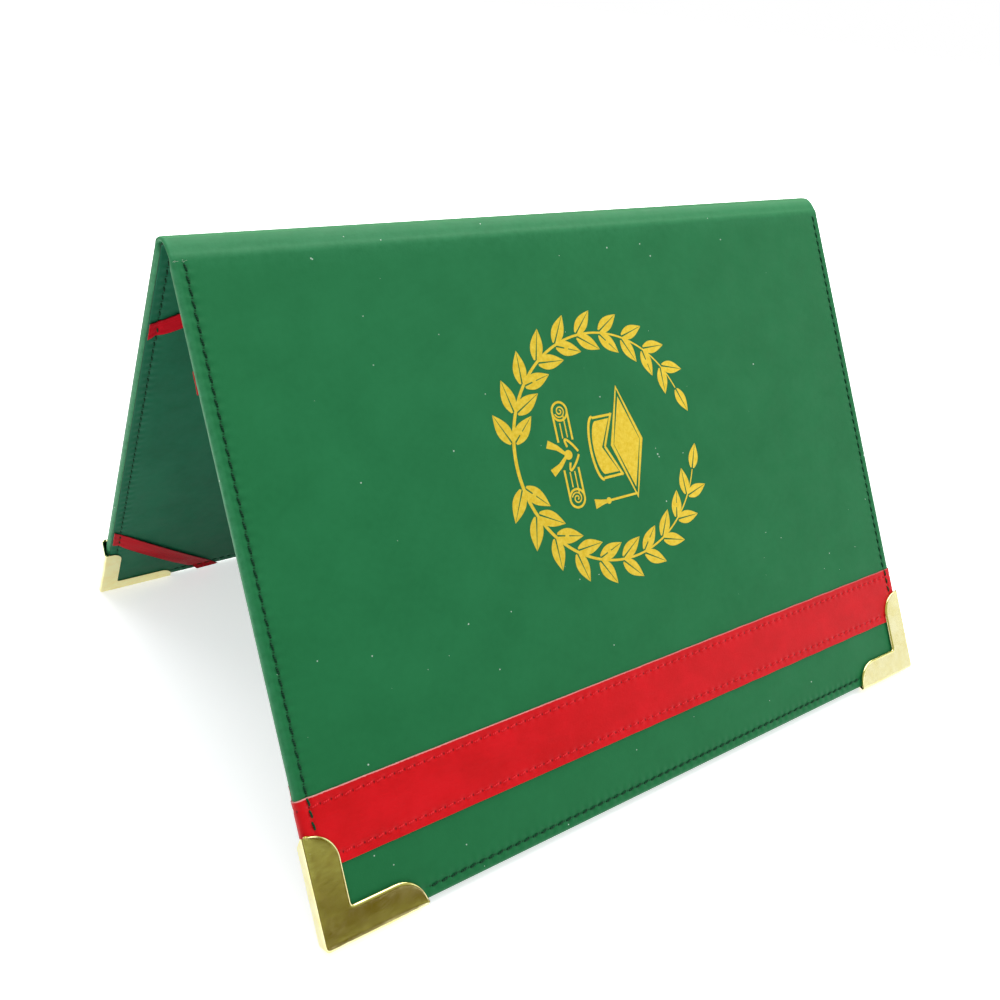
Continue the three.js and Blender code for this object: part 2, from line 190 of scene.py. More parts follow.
class Nodes:
    """A small builder for a node tree. Values may be numbers, colours or node outputs."""

    def __init__(self, tree):
        self.tree = tree
        tree.nodes.clear()

    def put(self, socket, value):
        if isinstance(value, bpy.types.NodeSocket):
            self.tree.links.new(value, socket)
        else:
            socket.default_value = value

    def node(self, kind, inputs=(), **settings):
        n = self.tree.nodes.new(kind)
        for key, value in settings.items():
            setattr(n, key, value)
        for key, value in dict(inputs).items():
            self.put(n.inputs[key], value)
        return n

    def math(self, operation, *values):
        return self.node("ShaderNodeMath", enumerate(values), operation=operation).outputs[0]

    def times(self, a, b):
        return self.math("MULTIPLY", a, b)

    def plus(self, a, b):
        return self.math("ADD", a, b)

    def larger(self, a, b):
        return self.math("MAXIMUM", a, b)

    def size(self, value):
        return self.math("ABSOLUTE", value)

    def uv(self):
        return self.node("ShaderNodeUVMap", uv_map="flat").outputs[0]

    def place(self):
        return self.node("ShaderNodeTexCoord").outputs["Object"]

    def split(self, vector):
        return self.node("ShaderNodeSeparateXYZ", {0: vector}).outputs[:2]

    def stretched(self, vector, *scale):
        return self.node("ShaderNodeMapping", {0: vector, 3: scale}).outputs[0]

    def noise(self, vector, scale, detail=2.0, roughness=0.5):
        return self.node("ShaderNodeTexNoise", {
            "Vector": vector, "Scale": scale, "Detail": detail, "Roughness": roughness}).outputs[0]

    def pebbles(self, vector, scale):
        """The rounded grain of leatherette, on the flat sheet."""
        return self.node("ShaderNodeTexVoronoi", {"Vector": vector, "Scale": scale},
                         feature="SMOOTH_F1", voronoi_dimensions="2D").outputs[0]

    def dots(self, vector, scale, share, smallest, largest):
        """1 in round dots of different sizes, which lie in a share of the cells."""
        cells = self.node("ShaderNodeTexVoronoi", {"Vector": vector, "Scale": scale}).outputs
        chance = self.node("ShaderNodeSeparateColor", {0: cells[1]}).outputs
        size = self.spread(chance[1], 0.0, 1.0, smallest, largest)
        return self.times(self.math("LESS_THAN", cells[0], size),
                          self.math("LESS_THAN", chance[0], share))

    def spread(self, value, low, high, start=0.0, end=1.0):
        """The value's way from low to high, as start to end."""
        return self.node("ShaderNodeMapRange", {
            0: value, 1: low, 2: high, 3: start, 4: end}).outputs[0]

    def bell(self, value, centre, width):
        """1 where value is centre, falling to 0 about two widths away."""
        d = self.math("DIVIDE", self.math("SUBTRACT", value, centre), width)
        return self.math("EXPONENT", self.times(self.times(d, d), -1.0))

    def mix(self, factor, a, b):
        return self.node("ShaderNodeMix", {0: factor, 6: a, 7: b}, data_type="RGBA").outputs[2]

    def bump(self, height, distance, strength=1.0, under=None):
        inputs = {"Height": height, "Distance": distance * MM, "Strength": strength}
        if under is not None:
            inputs["Normal"] = under
        return self.node("ShaderNodeBump", inputs).outputs[0]


class Surface(Nodes):
    """The nodes of one material, in front of its shader."""

    def __init__(self, name):
        self.material = bpy.data.materials.new(name)
        self.material.use_nodes = True
        super().__init__(self.material.node_tree)
        self.shader = self.node("ShaderNodeBsdfPrincipled")
        self.node("ShaderNodeOutputMaterial", {0: self.shader.outputs[0]})

    def finish(self, **inputs):
        for key, value in inputs.items():
            self.put(self.shader.inputs[key.replace("_", " ")], value)
        return self.material


def flat_surface(name):
    """A material's nodes with the places on its flat sheet."""
    n = Surface(name)
    uv = n.uv()
    return n, uv, *n.split(uv)


def linear(r, g, b):
    """A colour from the 0 to 255 scale of a screen, as the shader's linear colour."""
    def channel(c):
        c = c / 255
        return c / 12.92 if c <= 0.04045 else ((c + 0.055) / 1.055) ** 2.4
    return (channel(r), channel(g), channel(b), 1.0)


# Colour of rubbed wear on the edges and fold, and also of the painted light on the spine and near
# the fold
RUBBED_AND_LIT_GREEN = linear(70, 150, 104)
# Colour of the painted shade at the lower left of the cover
PAINTED_SHADE_GREEN = linear(14, 96, 50)
PALE_DUST = linear(205, 222, 210)
# Colours of the painted shade in the needle holes of the green and the red cloth
GREEN_HOLE_SHADE = linear(5, 28, 17)
RED_HOLE_SHADE = linear(60, 3, 9)
RED_BACKING = linear(232, 170, 164)
RIBBON_EDGE = linear(110, 8, 20)
BRASS_DUST = linear(206, 198, 150)

FULL_TURN = 2 * math.pi
PUCKER_WIDTH = 2.3
RED_PUCKER_WIDTH = 1.3
HOLE_WIDTH = 0.42
HOLE_SHARPNESS = 10.0
LOW_SPECULAR = 0.17


def stitch_wave(n, along):
    """-1 in the middle of each stitch, 1 between two of them."""
    return n.math("COSINE", n.times(n.math("SUBTRACT", along, STITCH_PHASE),
                                    FULL_TURN / STITCH_PITCH))


def puckers(n, across, row, along, width=PUCKER_WIDTH):
    return n.times(n.bell(across, row, width), stitch_wave(n, along))


# Painted shade: a dark spot at each needle hole between two stitches
def needle_hole_shade(n, across, row, along):
    narrow = n.math("POWER", n.larger(stitch_wave(n, along), 0.0), HOLE_SHARPNESS)
    return n.times(n.bell(across, row, HOLE_WIDTH), narrow)


def wear_and_painted_light(n, colour, patch):
    """The outside: rubbed edges and fold, a painted highlight on the spine that grows to the right,
    painted light towards the fold, painted shade at the lower left, and dust.
    """
    uv = n.uv()
    u, v = n.split(uv)
    at_side = n.spread(n.size(u), HALF_WIDTH - 2.2, HALF_WIDTH + 0.6)
    at_fore = n.spread(v, -DEPTH + 1.6, -DEPTH - 0.6)
    at_fold = n.times(n.bell(v, 0.0, 5.0), 0.22)
    rub = n.larger(n.larger(at_side, at_fore), at_fold)
    colour = n.mix(n.times(rub, n.spread(patch, 0.3, 0.6, 0.45, 0.95)), colour, RUBBED_AND_LIT_GREEN)
    # Painted highlight: the spine is lighter, more so towards the right
    painted_spine_highlight = n.times(n.spread(v, -3.0, 4.0), n.spread(u, -50.0, HALF_WIDTH, 0.14, 0.34))
    # Painted light: the cover grows a little lighter towards the fold
    painted_fold_light = n.spread(v, -90.0, 0.0, 0.0, 0.035)
    colour = n.mix(n.plus(painted_spine_highlight, painted_fold_light), colour, RUBBED_AND_LIT_GREEN)
    # Painted shade: the lower left of the cover is darker
    painted_low_left_shade = n.times(n.spread(v, -90.0, -DEPTH), n.spread(u, 110.0, -HALF_WIDTH))
    colour = n.mix(n.times(painted_low_left_shade, 0.45), colour, PAINTED_SHADE_GREEN)
    dust = n.dots(uv, 0.21, share=0.32, smallest=0.012, largest=0.075)
    return n.mix(n.times(dust, 0.75), colour, PALE_DUST)


def leatherette(name, dark, light, roughness, grain, outside=False):
    """Coated cloth with a fine grain and soft mottling, puckered and pierced along its seams, with
    painted shade in the needle holes.
    """
    n, uv, u, v = flat_surface(name)
    patch = n.noise(uv, 0.35, 3.0, 0.6)
    tone = n.plus(n.times(n.noise(uv, 0.045, 4.0, 0.6), 0.7), n.times(patch, 0.3))
    colour = n.mix(n.spread(tone, 0.36, 0.64), dark, light)
    if outside:
        colour = wear_and_painted_light(n, colour, patch)
    height = n.plus(n.times(n.pebbles(uv, 1.15), 0.6), n.times(n.noise(uv, 2.4, 2.0, 0.55), 0.5))
    normal = n.bump(height, grain, 0.55)
    normal = n.bump(n.noise(uv, 0.02), 1.4, 0.35, normal)
    side, fore = (n.size(u), SIDE_SEAM, v), (v, FORE_SEAM, u)
    on_cover = n.spread(v, -3.0, -6.0)
    pucker = n.plus(n.times(puckers(n, *side), on_cover), puckers(n, *fore))
    normal = n.bump(pucker, 0.16, 0.8, normal)
    # Painted shade in the needle holes beside the seams
    hole = n.plus(n.times(needle_hole_shade(n, *side), on_cover), needle_hole_shade(n, *fore))
    colour = n.mix(n.times(hole, 0.9), colour, GREEN_HOLE_SHADE)
    shine = n.spread(n.noise(uv, 0.12, 3.0, 0.6), 0.3, 0.7, roughness - 0.05, roughness + 0.06)
    return n.finish(Base_Color=colour, Roughness=shine, Normal=normal,
                    Specular_IOR_Level=LOW_SPECULAR)


def red_leatherette(name):
    """Smooth coated cloth with faint creases, and its pale backing along the cut upper edge."""
    n, uv, u, v = flat_surface(name)
    tone = n.noise(uv, 0.06, 4.0, 0.6)
    colour = n.mix(n.spread(tone, 0.35, 0.65), linear(200, 3, 12), linear(214, 7, 20))
    creases = n.noise(n.stretched(uv, 0.25, 1.6, 1.0), 0.5, 4.0, 0.65)
    normal = n.bump(n.pebbles(uv, 1.3), 0.05, 0.5)
    normal = n.bump(creases, 0.22, 0.5, normal)
    low, high = [(v, row, u) for row in STRIPE_ROWS]
    pucker = n.plus(puckers(n, *low, RED_PUCKER_WIDTH), puckers(n, *high, RED_PUCKER_WIDTH))
    normal = n.bump(pucker, 0.11, 0.8, normal)
    # Painted shade in the needle holes of both stripe seams
    hole = n.plus(needle_hole_shade(n, *low), needle_hole_shade(n, *high))
    colour = n.mix(n.times(hole, 0.95), colour, RED_HOLE_SHADE)
    ragged = n.plus(v, n.times(n.noise(uv, 0.9, 2.0, 0.6), 0.5))
    bare = n.spread(ragged, STRIPE_HIGH - 0.16, STRIPE_HIGH + 0.04)
    fading = n.spread(u, -HALF_WIDTH, HALF_WIDTH, 0.8, 0.3)
    colour = n.mix(n.times(bare, fading), colour, RED_BACKING)
    shine = n.spread(n.noise(uv, 0.2, 3.0, 0.6), 0.3, 0.7, 0.36, 0.47)
    return n.finish(Base_Color=colour, Roughness=shine, Normal=normal,
                    Specular_IOR_Level=LOW_SPECULAR)


def raw_edge(name, light, dark, fading=0.0):
    """The cut edge of a coated cloth, with its woven backing."""
    n = Surface(name)
    uv = n.uv()
    weave = n.noise(uv, 2.2, 3.0, 0.7)
    fade = n.spread(n.split(uv)[0], -HALF_WIDTH, HALF_WIDTH, 0.0, fading)
    colour = n.mix(n.spread(n.math("SUBTRACT", weave, fade), 0.35, 0.65), dark, light)
    return n.finish(Base_Color=colour, Roughness=0.85, Normal=n.bump(weave, 0.1, 0.6))


def thread(name, dark, light, sheen=0.03):
    """Twisted thread: u runs along it in millimetres, and v goes round it once."""
    n, _, u, v = flat_surface(name)
    twist_pitch = 0.8
    twist = n.math("SINE", n.plus(n.times(u, FULL_TURN / twist_pitch), n.times(v, FULL_TURN)))
    colour = n.mix(n.spread(twist, -0.9, 0.9), dark, light)
    return n.finish(Base_Color=colour, Roughness=0.72, Sheen_Weight=sheen, Sheen_Roughness=0.5,
                    Specular_IOR_Level=0.12, Normal=n.bump(twist, 0.08, 0.8))


def satin(name):
    """Warp-faced ribbon: fine lines along it, streaks of lustre, and darker woven edges."""
    n, uv, u, v = flat_surface(name)
    rib_pitch = 0.32
    streak = n.noise(n.stretched(uv, 0.05, 2.0, 1.0), 1.2, 3.0, 0.6)
    ribs = n.math("SINE", n.times(u, FULL_TURN / rib_pitch))
    colour = n.mix(n.spread(streak, 0.3, 0.7), linear(206, 6, 26), linear(240, 16, 42))
    edge = n.spread(n.size(v), RIBBON_WIDTH / 2 - 0.55, RIBBON_WIDTH / 2)
    colour = n.mix(n.times(edge, 0.5), colour, RIBBON_EDGE)
    height = n.plus(n.times(streak, 0.7), n.times(ribs, 0.12))
    shine = n.spread(streak, 0.3, 0.7, 0.3, 0.42)
    return n.finish(Base_Color=colour, Roughness=shine, Normal=n.bump(height, 0.12, 0.5),
                    Anisotropic=0.5, Specular_IOR_Level=0.06)


def brass(name):
    """Thin lacquered brass sheet: fine rolling lines, shallow dents, smears and dust."""
    n = Surface(name)
    at = n.node("ShaderNodeVectorMath", {0: n.place(), "Scale": 1 / MM},
                operation="SCALE").outputs[0]
    lines = n.noise(n.stretched(at, 0.15, 3.0, 3.0), 1.4)
    smear = n.noise(at, 0.16, 3.0, 0.6)
    colour = n.mix(n.spread(smear, 0.35, 0.7), linear(228, 221, 170), linear(221, 210, 144))
    normal = n.bump(lines, 0.012, 0.5)
    normal = n.bump(n.noise(at, 0.09, 3.0), 0.34, 0.45, normal)
    shine = n.plus(n.spread(smear, 0.35, 0.75, 0.09, 0.18), n.times(lines, 0.04))
    dust = n.dots(at, 0.62, share=0.35, smallest=0.03, largest=0.09)
    colour = n.mix(n.times(dust, 0.5), colour, BRASS_DUST)
    return n.finish(Base_Color=colour, Metallic=n.spread(dust, 0.0, 1.0, 1.0, 0.45),
                    Roughness=shine, Normal=normal)


def gold_foil(name):
    """Hot stamped foil: it keeps the grain under it and is a little thin in places."""
    n = Surface(name)
    uv = n.uv()
    mottle = n.noise(uv, 0.5, 4.0, 0.7)
    colour = n.mix(n.spread(mottle, 0.3, 0.7), linear(226, 186, 40), linear(244, 214, 84))
    normal = n.bump(n.pebbles(uv, 1.15), 0.06, 0.7)
    normal = n.bump(mottle, 0.08, 0.6, normal)
    shine = n.spread(mottle, 0.3, 0.7, 0.34, 0.5)
    return n.finish(Base_Color=colour, Metallic=0.72, Roughness=shine, Normal=normal)


def grey_board(name):
    n = Surface(name)
    fibre = n.noise(n.place(), 900.0, 4.0, 0.7)
    colour = n.mix(n.spread(fibre, 0.3, 0.7), linear(138, 132, 118), linear(160, 154, 140))
    return n.finish(Base_Color=colour, Roughness=0.92, Normal=n.bump(fibre, 0.1, 0.6))


OUTER = leatherette("outer_leatherette", linear(24, 108, 61), linear(30, 115, 67),
                    roughness=0.50, grain=0.045, outside=True)
INNER = leatherette("inner_leatherette", linear(23, 106, 74), linear(32, 118, 84),
                    roughness=0.55, grain=0.05)
CUT_GREEN = raw_edge("green_cut_edge", linear(120, 170, 140), linear(52, 112, 80))
RED = red_leatherette("red_leatherette")
# Painted shade: the lining's cut edge is nearly black-green, drawing the shaded groove between the
# skin's edge and the lining
LINING_EDGE_SHADE = raw_edge("lining_edge_painted_shade", linear(22, 60, 42), linear(12, 38, 26))
CUT_RED = raw_edge("red_cut_edge", linear(236, 176, 172), linear(178, 70, 74), fading=0.17)
GREEN_THREAD = thread("green_thread", linear(7, 48, 28), linear(16, 74, 45))
RED_THREAD = thread("red_thread", linear(208, 14, 24), linear(232, 44, 52), sheen=0.05)
SATIN = satin("red_satin")
BRASS = brass("polished_brass")
FOIL = gold_foil("stamped_gold_foil")
BOARD = grey_board("grey_board")
FLUFF = thread("loose_fluff", linear(140, 172, 142), linear(206, 220, 200), sheen=0.2)


# Meshes


def linked(name, data):
    obj = bpy.data.objects.new(name, data)
    bpy.context.scene.collection.objects.link(obj)
    return obj


def new_mesh(name, points, faces, uvs, materials, smooth=True):
    """points in millimetres, one uv for each point."""
    mesh = bpy.data.meshes.new(name)
    mesh.from_pydata([tuple(p * MM) for p in points], [], [tuple(map(int, f)) for f in faces])
    layer = mesh.uv_layers.new(name="flat")
    index = np.empty(len(mesh.loops), np.int32)
    mesh.loops.foreach_get("vertex_index", index)
    layer.data.foreach_set("uv", np.asarray(uvs, np.float32)[index].ravel())
    for m in materials:
        mesh.materials.append(m)
    if smooth:
        mesh.polygons.foreach_set("use_smooth", np.ones(len(mesh.polygons), bool))
    return linked(name, mesh)


def sheet(name, face, under, uv, materials, out, at=(0, 0), keep=None):
    """A sheet with thickness between two grids of points, with its rim closed all round.

    At the grid place at, the face looks the way of out. A second material goes on the rim.
    """
    rows, cols = face.shape[:2]
    if keep is None:
        keep = np.ones((rows - 1, cols - 1), bool)
    i, j = at
    if np.cross(face[i, j + 1] - face[i, j], face[i + 1, j] - face[i, j]) @ out <= 0:
        face, under, uv, keep = (a[:, ::-1] for a in (face, under, uv, keep))
    index = np.arange(rows * cols).reshape(rows, cols)
    below = rows * cols
    quads = np.stack([index[:-1, :-1], index[:-1, 1:], index[1:, 1:], index[1:, :-1]], -1)[keep]
    padded = np.pad(keep, 1)
    rim = []
    edges = [((-1, 0), (0, 0), (0, 1)), ((1, 0), (1, 1), (1, 0)),
             ((0, -1), (1, 0), (0, 0)), ((0, 1), (0, 1), (1, 1))]
    for (di, dj), a, b in edges:
        neighbour = padded[1 + di:rows + di, 1 + dj:cols + dj]
        for cell in np.argwhere(keep & ~neighbour):
            p, q = index[tuple(cell + a)], index[tuple(cell + b)]
            rim.append([q, p, p + below, q + below])
    faces = np.concatenate([quads, quads[:, ::-1] + below, np.array(rim, int).reshape(-1, 4)])
    points = np.concatenate([face.reshape(-1, 3), under.reshape(-1, 3)])
    used, inverse = np.unique(faces, return_inverse=True)
    uvs = np.concatenate([uv.reshape(-1, 2)] * 2)
    obj = new_mesh(name, points[used], inverse.reshape(faces.shape), uvs[used], materials)
    if len(materials) > 1:
        slots = np.zeros(len(faces), np.int32)
        slots[2 * len(quads):] = 1
        obj.data.polygons.foreach_set("material_index", slots)
    obj.data.validate()
    obj.data.set_sharp_from_angle(angle=math.radians(32))
    return obj


class Tubes:
    """Little tubes that make one mesh together; their u runs along, and their v round them."""

    def __init__(self, sides):
        self.sides = sides
        self.points, self.faces, self.uvs = [], [], []

    def add(self, side, up, rings):
        """rings are (centre, half the width along side, half the height along up, u)."""
        sides, first = self.sides, len(self.points)
        for centre, wide, high, u in rings:
            for m in range(sides):
                a = FULL_TURN * m / sides
                self.points.append(centre + side * math.cos(a) * wide + up * math.sin(a) * high)
                self.uvs.append((u, m / sides))
        for a in range(first, len(self.points) - sides, sides):
            for m in range(sides):
                q = (m + 1) % sides
                self.faces.append((a + m, a + sides + m, a + sides + q, a + q))

    def close(self, rings):
        """Flat ends on the last tube."""
        last = len(self.points) - self.sides
        first = last - (rings - 1) * self.sides
        self.faces.append(range(first, first + self.sides))
        self.faces.append(range(last + self.sides - 1, last - 1, -1))

    def mesh(self, name, material):
        return new_mesh(name, self.points, self.faces, self.uvs, [material])


def made(obj, cover, slot, *nodes, bends=False):
    """Hides the nodes the piece stands for, and ties it to what it moves with; a piece that bends
    has its place baked into its mesh instead. slot, the name of its finish, is not used.
    """
    if nodes:
        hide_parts(*nodes)
    if bends:
        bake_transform(obj)
    else:
        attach(obj, cover.body)


# Skin: a wrapped sheet


def edge_path(reach, depth, radius, flap, t):
    """Way of a sheet round an edge: place, depth below the face, normal, and length so far.

    t goes from 0 to 1 round the outer bend, to 2 down the wall, to 3 round the inner bend, and
    to 4 along the turned-in flap.
    """
    quarter = math.pi / 2
    bend = radius * quarter
    wall = depth - 2 * radius
    start = reach - radius + bend
    if t <= 1:
        a = t * quarter
        return (reach - radius + radius * math.sin(a), radius - radius * math.cos(a),
                math.sin(a), math.cos(a), reach - radius + radius * a)
    if t <= 2:
        return reach, radius + wall * (t - 1), 1.0, 0.0, start + wall * (t - 1)
    if t <= 3:
        a = (t - 2) * quarter
        return (reach - radius + radius * math.cos(a), depth - radius + radius * math.sin(a),
                math.cos(a), -math.sin(a), start + wall + radius * a)
    run = flap * (t - 3)
    return reach - radius - run, depth, 0.0, -1.0, start + wall + bend + run


# Steps round an edge, and across and down a cover, close together where a seam is
WRAP = [0.2, 0.4, 0.6, 0.8, 1.0, 1.5, 2.0, 2.2, 2.4, 2.6, 2.8, 3.0, 3.1, 3.4, 3.7, 4.0]
FLAT_HALF = [*np.arange(0.0, 146.1, 5.0), 148.0, 149.2, 149.8, 150.2, 150.5, 150.8, 151.0,
             151.2, 151.5, 151.8, 152.2, 152.8, 153.3]
FLAT_COLS = [("flat", x) for x in [-x for x in FLAT_HALF[:0:-1]] + FLAT_HALF]
BELOW_FOLD = [-3.3, -4.0, -4.6, -5.2, -6.0, -7.5, -10.0, *np.arange(-15.0, -211.0, -5.0)]
AT_FORE_EDGE = [-214.0, -216.5, -217.6, -218.2, -218.5, -218.8, -219.0, -219.2, -219.5, -219.8,
                -220.3, -220.9, -221.4]
SPINE_STEPS = [SPINE_WIDTH / 2, 5.2, 4.2, 3.4]


def wrapped_cols(wrap):
    return ([("wrap", -1.0, t) for t in reversed(wrap)] + FLAT_COLS
            + [("wrap", 1.0, t) for t in wrap])


def groove(x, v):
    """How far the thread pulls the sheet down beside the edge."""
    width = 0.75
    on_cover = np.clip((-3.1 - v) / 3.0, 0, 1)
    return 0.22 * max(hill(np.abs(x), SIDE_SEAM, width) * on_cover, hill(v, FORE_SEAM, width))


def skin_depth(v):
    return SKIN_STACK + (SPINE_DEPTH - SKIN_STACK) * float(np.clip((v + 4.5) / 3.5, 0, 1))


def skin_grid(cover, rows, cols):
    """rows and cols are ("flat", value) or ("wrap", side, t). Gives points, normals and uv."""
    points, normals, uvs = [], [], []
    for row in rows:
        if row[0] == "wrap":
            y, d, ny, nz, s = edge_path(DEPTH, SKIN_STACK, EDGE_RADIUS, TURN_IN, row[2])
            base, n_row = cover.world([0.0, -y, -d]), cover.turn([0.0, -ny, nz])
            v, depth = -s, SKIN_STACK
        else:
            v = row[1]
            base, n_row = cover.profile(v)
            depth = skin_depth(v)
        radius = min(EDGE_RADIUS, depth * 0.48)
        for col in cols:
            if col[0] == "flat":
                side = 1.0 if col[1] >= 0 else -1.0
                x = s = abs(col[1])
                nx, nn = 0.0, 1.0
                d = groove(x, v) if row[0] == "flat" else 0.0
            else:
                side = col[1]
                x, d, nx, nn, s = edge_path(HALF_WIDTH, depth, radius, TURN_IN, col[2])
            points.append(base + side * x * cover.x - n_row * d)
            normals.append(unit(nx * side * cover.x + nn * n_row))
            uvs.append((side * s, v))
    shape = (len(rows), len(cols), -1)
    return [np.array(a).reshape(shape) for a in (points, normals, uvs)]


def cover_rows(cover):
    t = cover.tangent
    flat = [v for v in SPINE_STEPS if v > t + 0.3]
    flat += list(np.linspace(t, -t, 17))
    flat += [v for v in BELOW_FOLD if v < -t - 0.2]
    flat += AT_FORE_EDGE
    return [("flat", v) for v in flat] + [("wrap", 0, t) for t in WRAP]


def make_skin(cover, *nodes):
    rows = cover_rows(cover)
    cols = wrapped_cols(WRAP)
    points, normals, uv = skin_grid(cover, rows, cols)
    row_wrapped = np.array([r[0] == "wrap" for r in rows])
    col_wrapped = np.array([c[0] == "wrap" for c in cols])
    # A corner of the sheet is cut off where both of its sides would turn in
    both = (row_wrapped[:-1] | row_wrapped[1:])[:, None] & (col_wrapped[:-1] | col_wrapped[1:])
    from_side = HALF_WIDTH - np.abs((points - cover.fold) @ cover.x)
    from_fore = DEPTH + (points - cover.fold) @ cover.up
    flap_row = np.array([r[0] == "wrap" and r[2] > 3 for r in rows])[:, None]
    flap_col = np.array([c[0] == "wrap" and c[2] > 3 for c in cols])[None, :]
    mitre = (flap_col & (from_side > from_fore)) | (flap_row & (from_fore > from_side))
    cut_off = both | mitre[:-1, :-1] | mitre[1:, 1:] | mitre[1:, :-1] | mitre[:-1, 1:]
    obj = sheet(cover.prefix + "_leatherette", points, points - normals * SKIN, uv,
                [OUTER, CUT_GREEN], normals[0, 0], keep=~cut_off)
    made(obj, cover, "outer_leatherette", *nodes, bends=True)


def bezier(p0, p1, p2, p3, t):
    t = np.asarray(t)[:, None]
    return ((1 - t) ** 3 * p0 + 3 * (1 - t) ** 2 * t * p1 + 3 * (1 - t) * t ** 2 * p2
            + t ** 3 * p3)


def make_lining(cover, *nodes):
    """Flat on the board's inside, then over the board's end and along the middle of the spine."""
    leave = -6.5
    centre = cover.fold + cover.spine_along * SPINE_WIDTH / 2 - cover.spine_out * 1.2
    start = cover.world([0.0, leave, -LINING_FACE])
    curve = bezier(start, start + cover.up * 4.2, centre - cover.spine_along * 3.6, centre,
                   np.linspace(0, 1, 15))
    flat = [-DEPTH + LINING_INSET, -222.0, -221.4, -220.6, -219.9, -219.4, -219.1, -218.9,
            -218.6, -218.1, -217.4, -216.0, *np.arange(-212.0, leave - 1, 4.0)]
    path = np.array([cover.world([0.0, v, -LINING_FACE]) for v in flat] + list(curve))
    normal = unit(np.cross(cover.x[None, :], unit(np.gradient(path, axis=0))))
    if normal[0] @ cover.out > 0:
        normal = -normal
    v_at = -DEPTH + LINING_INSET + length_along(path)
    reach = HALF_WIDTH - LINING_INSET
    half = [*np.arange(0.0, 146.1, 6.0), 148.0, 149.4, 150.1, 150.6, 150.9, 151.1, 151.4, 151.9,
            152.6, 153.4, 153.9, reach]
    xs = np.array([-x for x in half[:0:-1]] + half)
    pull = np.array([[groove(x, v) * 0.9 for x in xs] for v in v_at])
    rim = np.maximum(np.abs(xs)[None, :] - (reach - 0.3), 0) * 0.5
    middle = path[:, None, :] + xs[None, :, None] * cover.x
    face = middle - normal[:, None, :] * (pull + rim)[..., None]
    under = middle - normal[:, None, :] * LINING
    obj = sheet(cover.prefix + "_inner_leatherette", face, under,
                stacked(xs[None, :], v_at[:, None]), [INNER, LINING_EDGE_SHADE], normal[0])
    made(obj, cover, "inner_leatherette", *nodes, bends=True)


def make_stripe(cover):
    """Red band over the skin, round both side edges. Its raw long edges show their backing."""
    from_edge = [0, 0.25, 0.8, 1.6, 2.4, 2.8, 3.2, 3.6, 4.0, 4.8]
    rows = ([STRIPE_LOW + d for d in from_edge + [7.5, 10, 12, 14, 16.5]]
            + [STRIPE_HIGH - d for d in reversed(from_edge)])
    cols = wrapped_cols([t for t in WRAP if t <= 2.81])
    points, normals, uv = skin_grid(cover, [("flat", v) for v in rows], cols)
    v = np.array(rows)[:, None]
    pull = 0.16 * sum(hill(v, row, 0.6) for row in STRIPE_ROWS)
    lift = 0.07 * hill(v, STRIPE_HIGH, 0.9) + 0.04 * hill(v, STRIPE_LOW, 0.9)
    ragged = 0.06 * np.sin(uv[..., 0] * 0.9) + 0.05 * np.sin(uv[..., 0] * 0.37 + 1.0)
    slide = (hill(v, STRIPE_HIGH, 0.5) + hill(v, STRIPE_LOW, 0.5)) * ragged
    slid = points + slide[..., None] * cover.up
    top = slid + normals * (STRIPE_TOP - pull + lift)[..., None]
    obj = sheet("red_stripe", top, slid + normals * STRIPE_UNDER, uv, [RED, CUT_RED],
                normals[0, len(cols) // 2])
    made(obj, cover, "red_leatherette", "front_stripe")


# Stitches


def sew(cover, node, runs, material, slot):
    """The stitches of one seam, from hole to hole. runs are (middle, along, out, radius)."""
    tubes = Tubes(sides=8)
    t = np.linspace(0, 1, 9)
    arch = np.sin(np.pi * t)
    # Each thread comes out of one hole and goes down into the next
    height = -0.24 + 0.40 * arch ** 0.6
    for middle, along, out, radius in runs:
        turn = math.radians(STITCH_SLANT + rng.normal(0, 1.2))
        way = along * math.cos(turn) + np.cross(out, along) * math.sin(turn)
        length = STITCH_LENGTH * (1 + rng.normal(0, 0.025))
        centres = middle + way * (t[:, None] - 0.5) * length + out * height[:, None]
        thick = radius * (0.72 + 0.28 * arch ** 0.5)
        tubes.add(np.cross(out, way), out, zip(centres, thick * 1.12, thick * 0.9, t * length))
        tubes.close(len(t))
    made(tubes.mesh(node.replace("seam", "stitches"), material), cover, slot, node)


def stitch_places(start, end):
    """Middles of the stitches of one row, on the grid that the puckers follow."""
    first = math.ceil((start - STITCH_PHASE + STITCH_LENGTH / 2) / STITCH_PITCH - 0.5)
    last = math.floor((end - STITCH_PHASE - STITCH_LENGTH / 2) / STITCH_PITCH - 0.5)
    return [(k + 0.5) * STITCH_PITCH + STITCH_PHASE for k in range(first, last + 1)]


def lift_outside(v, striped):
    return ON_STRIPE if striped and STRIPE_LOW - 0.4 < v < STRIPE_HIGH + 0.4 else ON_SKIN


def lift_inside(place, *crossings):
    over = any(abs(place - middle) < half for middle, half in crossings)
    return ON_RIBBON if over else ON_LINING


def side_seam(cover, side, striped):
    x = side * SIDE_SEAM
    runs = [(cover.world([x, v, lift_outside(v, striped)]), cover.up, cover.out, THREAD_OUTSIDE)
            for v in stitch_places(BRASS_FORE + OUTER_ARM["length"] - 1.0, SEAM_END_OUTSIDE)]
    runs += [(cover.world([x, v, lift_inside(v, RIBBON_AT_FOLD, RIBBON_AT_SIDE)]),
              cover.up, -cover.out, THREAD_INSIDE)
             for v in stitch_places(BRASS_FORE + INNER_ARM["length"] - 1.0, SEAM_END_INSIDE)]
    sew(cover, side_name(cover, side) + "_seam", runs, GREEN_THREAD, "green_thread")


